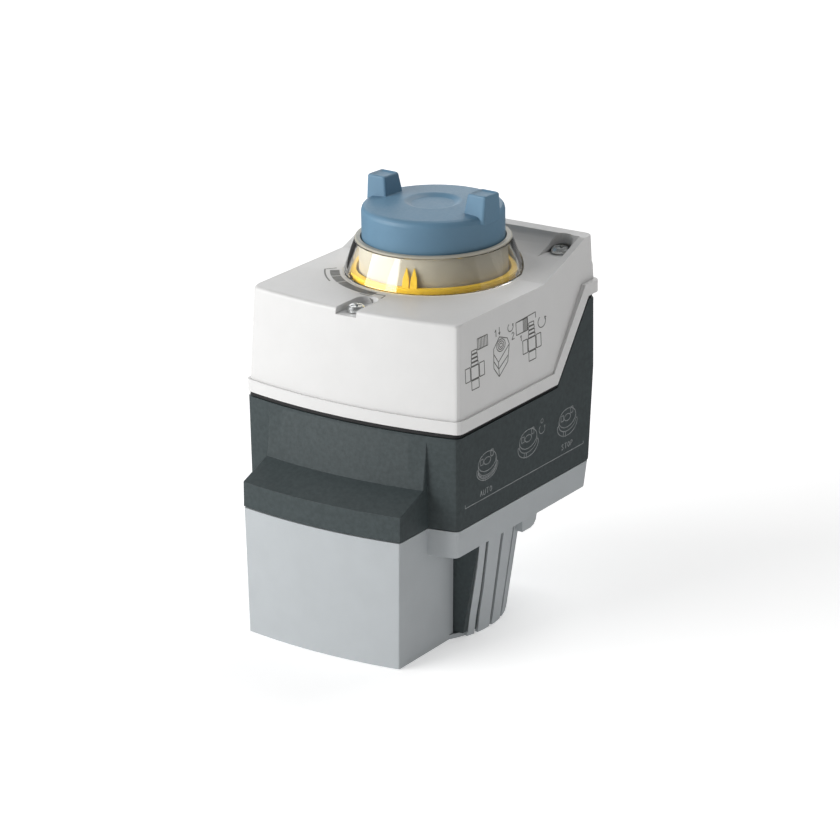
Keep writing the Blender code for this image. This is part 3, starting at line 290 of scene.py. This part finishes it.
def laminate(name, colour):
    """Printed circuit board: woven glass under solder mask, with paler copper runs."""
    material, tree, shader = new_material(name)
    place = object_place(tree)
    runs = tree.nodes.new("ShaderNodeTexBrick")
    runs.inputs["Scale"].default_value = 1.0
    runs.inputs["Brick Width"].default_value = 6.5 * MM
    runs.inputs["Row Height"].default_value = 2.4 * MM
    runs.inputs["Mortar Size"].default_value = 0.28 * MM
    runs.inputs["Color1"].default_value = (*colour, 1.0)
    runs.inputs["Color2"].default_value = (*shaded(colour, 0.85), 1.0)
    runs.inputs["Mortar"].default_value = (*shaded(colour, 1.7), 1.0)
    tree.links.new(place, runs.inputs["Vector"])
    tree.links.new(runs.outputs["Color"], shader.inputs["Base Color"])
    dull = spread_out(tree, noise(tree, place, 1.5 * MM), 0.3, 0.45)
    tree.links.new(dull, shader.inputs["Roughness"])
    relief(tree, shader, noise(tree, place, 0.6 * MM), 0.01 * MM)
    return material


MOULDINGS = {  # colour, roughness, grain, depth of the grain, then what differs from the usual
    "white_abs": ((0.72, 0.717, 0.71), 0.42, 0.45, 0.004, {"uneven": 0.012}),
    "slate_plastic": ((0.055, 0.071, 0.074), 0.43, 0.5, 0.016, {"flow": 1.3, "uneven": 0.13}),
    "light_grey_plastic": ((0.455, 0.483, 0.499), 0.5, 0.5, 0.005, {"uneven": 0.02}),
    "blue_plastic": ((0.135, 0.265, 0.385), 0.46, 0.35, 0.006, {}),
    "beige_plastic": ((0.52, 0.49, 0.41), 0.4, 0.5, 0.004, {}),
    "yellow_plastic": ((0.92, 0.60, 0.035), 0.4, 0.4, 0.004, {"uneven": 0.02}),
    "white_acetal": ((0.74, 0.73, 0.69), 0.38, 0.3, 0.003, {}),
    "terminal_plastic": ((0.12, 0.33, 0.16), 0.45, 0.5, 0.006, {}),
    "black_rubber": ((0.020, 0.020, 0.021), 0.75, 0.4, 0.01, {"flow": 4.0, "uneven": 0.15}),
    "black_plastic": ((0.028, 0.029, 0.031), 0.42, 0.5, 0.008, {"flow": 5.0, "uneven": 0.1}),
}
METALS = {  # colour, roughness, then what differs from the usual
    "zinc_steel": ((0.78, 0.80, 0.80), 0.30, {}),
    "steel_plate": ((0.60, 0.61, 0.62), 0.34, {"lay": (14.0, 1.0, 1.0)}),
    "cast_alloy": ((0.62, 0.63, 0.64), 0.48, {"lay": (1.0, 1.0, 1.0), "line": 0.9, "depth": 0.03}),
    "brass": ((0.80, 0.58, 0.28), 0.26, {}),
}
INKS = {  # colour, and the share by which it strays
    "dark_ink": ((0.13, 0.13, 0.12), 0.2),
    "scale_ink": ((0.22, 0.22, 0.21), 0.15),
    "pale_ink": ((0.27, 0.285, 0.29), 0.2),
}


def make_finishes():
    finishes = {
        "clear_polycarbonate": clear_plastic("clear_polycarbonate_finish", (0.985, 0.98, 0.95), 0.01),
        "circuit_laminate": laminate("circuit_laminate_finish", (0.02, 0.16, 0.06)),
    }
    for slot, (*look, differing) in MOULDINGS.items():
        finishes[slot] = moulded(f"{slot}_finish", *look, **differing)
    for slot, (*look, differing) in METALS.items():
        finishes[slot] = metal(f"{slot}_finish", *look, **differing)
    for name, (colour, uneven) in INKS.items():
        finishes[name] = moulded(name, colour, 0.6, grain=0.3, depth=0.002, flow=2.0, uneven=uneven)
    return finishes


FINISHES = make_finishes()
SLOT_OF = {}  # material slot of each CAD node
BODY_OF = {}  # moving body of each CAD node


def finish_cad_nodes():
    """Note each CAD node's slot and body, then give the node its finish."""
    for name, cad_object in frame["nodes"].items():
        SLOT_OF[name] = cad_object.data.materials[0].name.split(".")[0]
        BODY_OF[name] = cad_object["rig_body"]
        for place in cad_object.material_slots:
            place.material = FINISHES[SLOT_OF[name]]


# ---------------------------------------------------------------- refined copies of CAD nodes

WELD_DISTANCE = 2e-6  # metres
NEARLY_FLAT = 0.7  # degrees between faces that belong to one flat face
SHADING_WEIGHT = 90  # how strongly large faces rule the shading at their edges
ROUNDING_SEGMENTS = 2

# Degrees. An edge where the surface turns by more is rounded, or kept sharp if the rounding is 0.
USUAL_CREASE = 26.0
KNOB_CREASE = 9.0
COLLAR_CREASE = 12.0
WIRE_CREASE = 50.0

REFINED = {  # rounding of the edges in mm, and the crease
    "top_cover": (0.35, USUAL_CREASE),
    "middle_housing": (0.45, USUAL_CREASE),
    "lower_housing": (0.35, USUAL_CREASE),
    "neck_sleeve": (0.2, USUAL_CREASE),
    "manual_knob": (0.22, KNOB_CREASE),
    "knob_guide_collar": (0.12, COLLAR_CREASE),
    "position_indicator": (0.12, USUAL_CREASE),
    "indicator_window": (0.12, USUAL_CREASE),
    "coupling_nut": (0.35, USUAL_CREASE),
    "cover_screw_front": (0.12, USUAL_CREASE),
    "cover_screw_rear_left": (0.12, USUAL_CREASE),
    "cover_screw_rear_right": (0.12, USUAL_CREASE),
    "entry_plug_left": (0.2, USUAL_CREASE),
    "entry_plug_right": (0.2, USUAL_CREASE),
    "knob_spring": (0.0, WIRE_CREASE),
}


def refined(node, rounding, crease):
    """Welded, smooth-shaded copy of a CAD node with softly rounded edges. It stands for the node."""
    source = frame["nodes"][node].data
    mesh = bpy.data.meshes.new(f"{node}_finished")
    mesh.from_pydata([v.co for v in source.vertices], [], [tuple(p.vertices) for p in source.polygons])
    bm = bmesh.new()
    bm.from_mesh(mesh)
    bmesh.ops.remove_doubles(bm, verts=bm.verts, dist=WELD_DISTANCE)
    bmesh.ops.dissolve_degenerate(bm, dist=WELD_DISTANCE / 2.0, edges=bm.edges)
    bmesh.ops.dissolve_limit(
        bm,
        angle_limit=math.radians(NEARLY_FLAT),
        verts=bm.verts,
        edges=bm.edges,
        use_dissolve_boundaries=False,
    )
    bmesh.ops.recalc_face_normals(bm, faces=bm.faces)
    for face in bm.faces:
        face.smooth = True
    bm.to_mesh(mesh)
    bm.free()
    piece = bpy.data.objects.new(f"{node}_finished", mesh)
    bpy.context.scene.collection.objects.link(piece)
    mesh.materials.append(FINISHES[SLOT_OF[node]])
    if rounding > 0.0:
        soften = piece.modifiers.new("edges", "BEVEL")
        soften.width = rounding * MM
        soften.segments = ROUNDING_SEGMENTS
        soften.limit_method = "ANGLE"
        soften.angle_limit = math.radians(crease)
        soften.use_clamp_overlap = True
    else:
        mesh.set_sharp_from_angle(angle=math.radians(crease))
    shading = piece.modifiers.new("shading", "WEIGHTED_NORMAL")
    shading.mode = "FACE_AREA"
    shading.weight = SHADING_WEIGHT
    shading.keep_sharp = True
    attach(piece, BODY_OF[node])
    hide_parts(node)
    return piece


def squash_with_knob(spring):
    """Give the spring under the knob a mesh of its own; it does not get shorter as the knob is pressed."""
    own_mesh(spring)


# ---------------------------------------------------------------- printed marks
# A drawing's points, lengths and line widths are in mm on its sheet.


class Sheet:
    """A flat drawing laid on a moulded face. A drawing's point is found on the face along one direction."""

    def __init__(self, piece, origin, across, up, look):
        bpy.context.view_layer.update()
        graph = bpy.context.evaluated_depsgraph_get()
        self.tree = BVHTree.FromObject(piece, graph)
        self.origin = Vector(origin)
        self.across = Vector(across)
        self.up = Vector(up)
        self.look = Vector(look)

    def on_face(self, point):
        start = self.origin + self.across * point[0] * MM + self.up * point[1] * MM
        hit, normal, _, _ = self.tree.ray_cast(start, self.look)
        if hit is None:
            raise ValueError(f"the printed point {point} misses its face")
        return hit, normal


INK_THICKNESS = 0.03  # mm, how far a print stands on its face
INK_SUNK = 0.02  # mm, how far its underside lies in the face
PATCH_LENGTH = 4.0  # mm, about how long a straight patch of a line may be

COVER_LINE = 0.29
HOUSING_LINE = 0.27
SCALE_LINE = 0.5


def sheet_on_right_side(piece):
    """Drawing seen from the right: across is the head's depth, up is its height."""
    return Sheet(piece, (0.06, 0.0, 0.0), (0.0, 1.0, 0.0), (0.0, 0.0, 1.0), (-1.0, 0.0, 0.0))


def sheet_on_top(piece):
    """Drawing seen from above."""
    return Sheet(piece, (0.0, 0.0, 0.16), (1.0, 0.0, 0.0), (0.0, 1.0, 0.0), (0.0, 0.0, -1.0))


def ink_quad(bm, sheet, corners):
    """One patch of ink between four points of a drawing."""
    top, bottom = [], []
    for corner in corners:
        hit, normal = sheet.on_face(corner)
        top.append(bm.verts.new(hit + normal * INK_THICKNESS * MM))
        bottom.append(bm.verts.new(hit - normal * INK_SUNK * MM))
    bm.faces.new(top)
    bm.faces.new(bottom[::-1])
    for i in range(4):
        j = (i + 1) % 4
        bm.faces.new((top[j], top[i], bottom[i], bottom[j]))


def ink_line(bm, sheet, points, width):
    """A printed line through points of a drawing, cut into short patches so that it follows the face."""
    for (x0, y0), (x1, y1) in zip(points, points[1:]):
        length = math.hypot(x1 - x0, y1 - y0)
        steps = max(1, round(length / PATCH_LENGTH))
        side = (-(y1 - y0) / length * width / 2.0, (x1 - x0) / length * width / 2.0)
        for i in range(steps):
            a, b = i / steps, (i + 1) / steps
            start = (x0 + (x1 - x0) * a, y0 + (y1 - y0) * a)
            end = (x0 + (x1 - x0) * b, y0 + (y1 - y0) * b)
            corners = (
                (start[0] - side[0], start[1] - side[1]),
                (end[0] - side[0], end[1] - side[1]),
                (end[0] + side[0], end[1] + side[1]),
                (start[0] + side[0], start[1] + side[1]),
            )
            ink_quad(bm, sheet, corners)


def print_piece(name, sheet, lines, patches, width, ink, body):
    """Printed lines and filled patches as one thin piece."""
    bm = bmesh.new()
    for points in lines:
        ink_line(bm, sheet, points, width)
    for corners in patches:
        ink_quad(bm, sheet, corners)
    mesh = bpy.data.meshes.new(name)
    bm.to_mesh(mesh)
    bm.free()
    mesh.materials.append(ink)
    piece = bpy.data.objects.new(name, mesh)
    bpy.context.scene.collection.objects.link(piece)
    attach(piece, body)


def rectangle(left, right, low, high):
    return [(left, low), (right, low), (right, high), (left, high), (left, low)]


def arc(centre, radius, start, end, flat=1.0, steps=16):
    """Part of an ellipse; flat is its height over its width."""
    points = []
    for i in range(steps + 1):
        angle = math.radians(start + (end - start) * i / steps)
        points.append(
            (centre[0] + radius * math.cos(angle), centre[1] + radius * flat * math.sin(angle))
        )
    return points


def arrow_head(tip, direction, size=0.9):
    """Two short strokes back from a tip."""
    strokes = []
    for turn in (150.0, -150.0):
        angle = math.radians(direction + turn)
        strokes.append([tip, (tip[0] + size * math.cos(angle), tip[1] + size * math.sin(angle))])
    return strokes


def valve_picture(x, base):
    """A valve with two flanged ends, its neck and its foot, drawn from the front."""
    lines = [
        rectangle(x - 2.1, x + 2.1, base + 3.2, base + 7.2),
        rectangle(x - 2.0, x + 2.0, base, base + 2.9),
        rectangle(x - 5.2, x - 2.5, base + 3.1, base + 7.4),
        rectangle(x + 2.5, x + 5.2, base + 3.1, base + 7.4),
    ]
    for i in range(4):
        low = base + 7.4 + i * 1.25
        inset = 0.15 * i
        lines.append(rectangle(x - 1.9 + inset, x + 1.9 - inset, low, low + 1.0))
    return lines


def head_picture(x, base):
    """The actuator head seen from above a corner, with rings for its knob."""
    outline = [
        (x - 4.6, base + 3.4),
        (x - 4.3, base + 9.4),
        (x - 0.9, base + 12.4),
        (x + 3.4, base + 10.9),
        (x + 4.4, base + 8.8),
        (x + 3.2, base + 3.4),
        (x - 1.8, base),
        (x - 4.6, base + 3.4),
    ]
    lines = [
        outline,
        [(x - 4.4, base + 7.9), (x - 1.9, base + 4.6), (x + 4.2, base + 8.6)],
        [(x - 1.9, base + 4.6), (x - 1.8, base)],
        [(x - 4.5, base + 5.6), (x - 1.9, base + 2.4), (x + 3.5, base + 5.4)],
    ]
    for radius in (0.8, 1.6, 2.4):
        lines.append(arc((x - 0.2, base + 9.6), radius, 0.0, 360.0, 0.8))
    return lines


def knob_picture(x, base, band_filled):
    """The knob with its two lugs on its ring, seen from above a corner."""
    centre = (x, base + 5.4)
    lines = [
        arc(centre, 5.0, 0.0, 360.0, 0.62),
        arc((x, base + 4.2), 5.1, 180.0, 360.0, 0.62),
        arc((x, base + 3.2), 5.9, 168.0, 372.0, 0.62),
        [(x - 5.0, base + 5.4), (x - 5.1, base + 4.2), (x - 5.8, base + 3.6)],
        [(x + 5.0, base + 5.4), (x + 5.1, base + 4.2), (x + 5.8, base + 3.6)],
        [(x - 2.2, base + 1.4), (x - 2.4, base - 0.4)],
        [(x - 1.0, base + 1.1), (x - 1.1, base - 0.7)],
        arc((x, base + 5.6), 1.9, 0.0, 360.0, 0.6, 12),
        rectangle(x - 3.8, x - 2.3, base + 5.0, base + 6.8),
        rectangle(x + 1.9, x + 3.3, base + 6.4, base + 8.4),
    ]
    if band_filled:
        for shift in (0.45, 0.9):
            lines.append(arc((x, base + 4.2 - shift), 5.2, 186.0, 354.0, 0.62))
    return lines


def number_one(x, y, size):
    return [[(x - 0.3 * size, y + 0.7 * size), (x, y + size), (x, y)]]


def number_two(x, y, size):
    return [
        [
            (x - 0.3 * size, y + 0.8 * size),
            (x, y + size),
            (x + 0.3 * size, y + 0.75 * size),
            (x - 0.3 * size, y),
            (x + 0.35 * size, y),
        ]
    ]


def turn_arrow(centre, radius):
    """Open ring with an arrow head at its end."""
    ring = arc(centre, radius, 120.0, 400.0, 0.85)
    return [ring, *arrow_head(ring[-1], 130.0, 0.45 * radius)]


def hatching(left, right, low, high, pitch):
    lines = []
    count = int((right - left) / pitch)
    for i in range(1, count + 1):
        x = left + i * pitch
        lines.append([(x, low), (x, high)])
    return lines


def add_cover_pictograms(cover):
    """Mounting steps on the right side of the cover: place the head, press and turn, tighten the nut."""
    lines = valve_picture(-15.1, 84.3)
    lines += [rectangle(-13.2, -7.6, 96.0, 99.4)]
    lines += hatching(-13.2, -7.6, 96.0, 99.4, 0.8)
    lines += head_picture(-0.2, 84.3)
    lines += number_one(-2.9, 97.2, 2.2)
    lines += [[(-1.0, 97.4), (-1.0, 99.8)], *arrow_head((-1.0, 97.4), -90.0)]
    lines += turn_arrow((5.2, 98.0), 1.5)
    lines += number_two(6.4, 93.9, 2.2)
    lines += valve_picture(16.9, 84.3)
    lines += [rectangle(8.3, 14.9, 94.5, 98.5)]
    lines += [[(8.3, 98.5), (19.5, 99.0), (19.5, 97.2)]]
    lines += hatching(11.8, 14.9, 94.5, 98.5, 0.55)
    lines += number_one(11.0, 92.0, 1.8)
    lines += turn_arrow((22.9, 95.0), 2.2)
    sheet = sheet_on_right_side(cover)
    ink = FINISHES["dark_ink"]
    print_piece("cover_pictograms", sheet, lines, [], COVER_LINE, ink, "housing")


LETTERS = {  # strokes of plain capitals, as shares of the letter's size
    "A": [[(0.0, 0.0), (0.4, 1.0), (0.8, 0.0)], [(0.2, 0.4), (0.6, 0.4)]],
    "U": [[(0.0, 1.0), (0.05, 0.1), (0.4, 0.0), (0.7, 0.1), (0.75, 1.0)]],
    "T": [[(0.0, 1.0), (0.8, 1.0)], [(0.4, 1.0), (0.4, 0.0)]],
    "O": [[(0.4, 0.0), (0.05, 0.3), (0.05, 0.7), (0.4, 1.0), (0.75, 0.7), (0.75, 0.3), (0.4, 0.0)]],
    "S": [[(0.7, 0.9), (0.3, 1.0), (0.05, 0.75), (0.7, 0.3), (0.4, 0.0), (0.0, 0.1)]],
    "P": [[(0.0, 0.0), (0.0, 1.0), (0.6, 0.95), (0.65, 0.6), (0.0, 0.5)]],
}
LETTER_PITCH = 1.02  # shares of the letter's size
LETTER_WIDTH = 0.85


def word_strokes(x, y, size, letters):
    """A generic word in plain capitals."""
    lines = []
    for i, letter in enumerate(letters):
        left = x + i * size * LETTER_PITCH
        for stroke in LETTERS[letter]:
            lines.append([(left + px * size * LETTER_WIDTH, y + py * size) for px, py in stroke])
    return lines


def add_housing_pictograms(housing):
    """Knob positions on the right side of the dark housing, over a bracket line."""
    lines = knob_picture(-9.6, 54.0, True)
    lines += knob_picture(13.6, 54.0, False)
    lines += knob_picture(36.6, 54.0, False)
    lines += turn_arrow((21.6, 60.2), 1.7)
    lines += [arc((21.6, 62.9), 0.7, 0.0, 360.0, 1.0, 8)]
    lines += word_strokes(-13.6, 49.0, 1.75, "AUTO")
    lines += word_strokes(33.3, 49.4, 1.75, "STOP")
    lines += [[(-21.9, 48.9), (-21.9, 47.8), (46.3, 47.8), (46.3, 48.6)]]
    sheet = sheet_on_right_side(housing)
    ink = FINISHES["pale_ink"]
    print_piece("housing_pictograms", sheet, lines, [], HOUSING_LINE, ink, "housing")


BAND_RADII = (29.6, 32.6)  # inner and outer radius of the scale's bands
BAND_ENDS = ((-146.5, -135.5), (-134.5, -123.5), (-122.5, -92.0))  # degrees round the knob
BAND_STEP = 3.0  # degrees


def around_knob(radius, angle):
    turn = math.radians(angle)
    return (KNOB_AXIS[0] + radius * math.cos(turn), KNOB_AXIS[1] + radius * math.sin(turn))


def band_patches(start, end):
    """Filled patches of one band of the scale."""
    inner, outer = BAND_RADII
    steps = max(2, round((end - start) / BAND_STEP))
    patches = []
    for i in range(steps):
        a = start + (end - start) * i / steps
        b = start + (end - start) * (i + 1) / steps
        patches.append(
            (around_knob(inner, a), around_knob(outer, a), around_knob(outer, b), around_knob(inner, b))
        )
    return patches


def add_stroke_scale(cover):
    """Travel scale on the deck, left of the knob: a banded arc, its end tick and a small direction mark."""
    lines = [[around_knob(30.6, -150.5), around_knob(34.4, -148.2)]]
    lines += [[around_knob(34.2, a) for a in range(-148, -124, 3)]]
    lines += [[around_knob(30.9, a) for a in range(-97, -84, 3)] + [around_knob(33.9, -84.5)]]
    lines += [[around_knob(33.4, a) for a in range(-99, -88, 3)]]
    patches = []
    for start, end in BAND_ENDS:
        patches += band_patches(start, end)
    sheet = sheet_on_top(cover)
    ink = FINISHES["scale_ink"]
    print_piece("stroke_scale", sheet, lines, patches, SCALE_LINE, ink, "housing")


# ---------------------------------------------------------------- the object

finish_cad_nodes()
add_camera()
add_sky()
add_stage()
for softbox in SOFTBOXES:
    add_softbox(*softbox)

pieces = {}
for node, (rounding, crease) in REFINED.items():
    pieces[node] = refined(node, rounding, crease)
pieces["indicator_window"].visible_shadow = False  # the lamps shine through the clear ring
squash_with_knob(pieces["knob_spring"])

add_cover_pictograms(pieces["top_cover"])
add_housing_pictograms(pieces["middle_housing"])
add_stroke_scale(pieces["top_cover"])

bpy.context.scene.view_settings.view_transform = "Standard"
